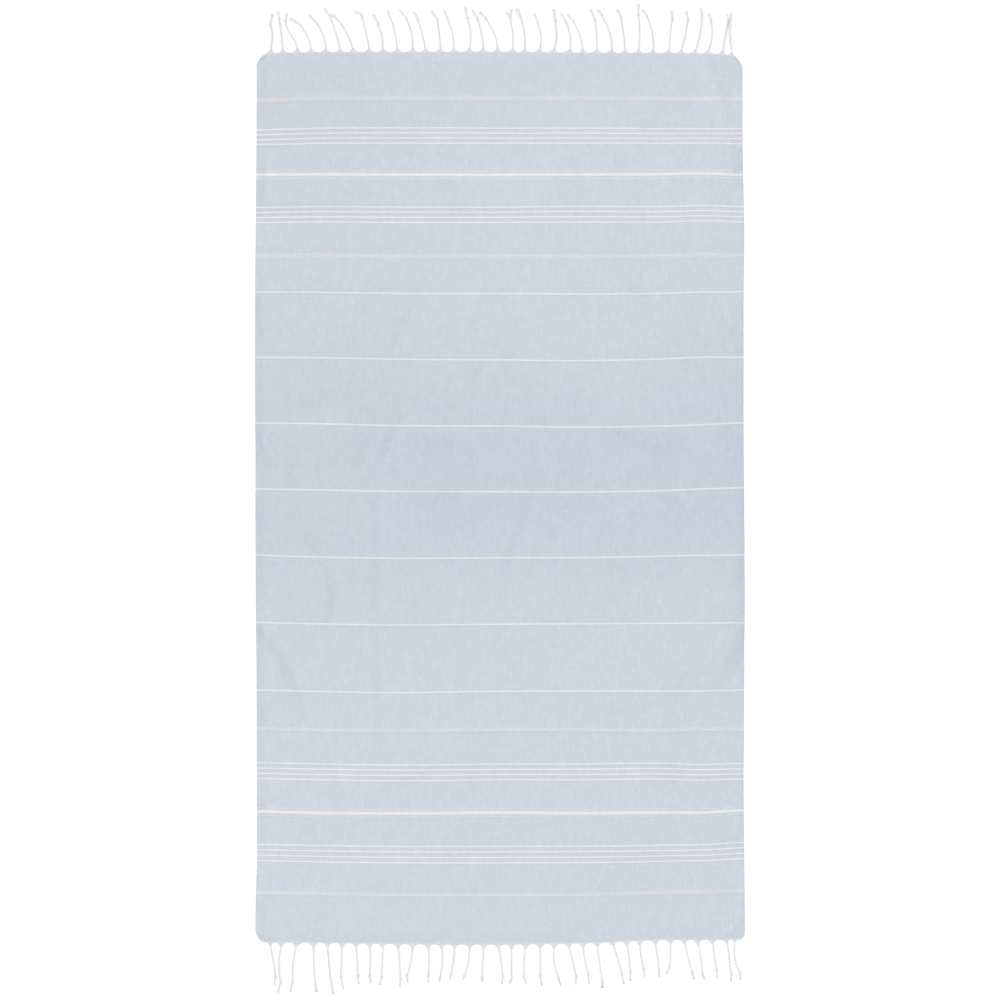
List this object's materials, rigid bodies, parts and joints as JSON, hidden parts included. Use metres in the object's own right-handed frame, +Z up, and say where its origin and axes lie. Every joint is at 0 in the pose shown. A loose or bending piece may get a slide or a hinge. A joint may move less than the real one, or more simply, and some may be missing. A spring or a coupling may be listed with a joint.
{
  "type": "hammam towel",
  "caption": "Flat-woven cotton hammam towel laid out flat, hemmed along its long sides, with raised cross stripes and a knotted cord fringe at each end.",
  "frame": {"origin": "on the surface the towel lies on, under the middle of its outline, fringes included", "axes": "+Y along the towel's length, +X across its width, +Z up from the surface it lies on"},
  "size_m": [1.0029, 2.0298, 0.0042],
  "materials": {
    "cloth": "matt plain-woven cotton, pale grey blue with white and warm white woven stripes",
    "fringe_yarn": "matt off-white cotton yarn, twisted and knotted"
  },
  "bodies": {
    "root": {"cloth": "cloth", "fringe_top": "fringe_yarn", "fringe_bottom": "fringe_yarn"}
  },
  "joints": []
}
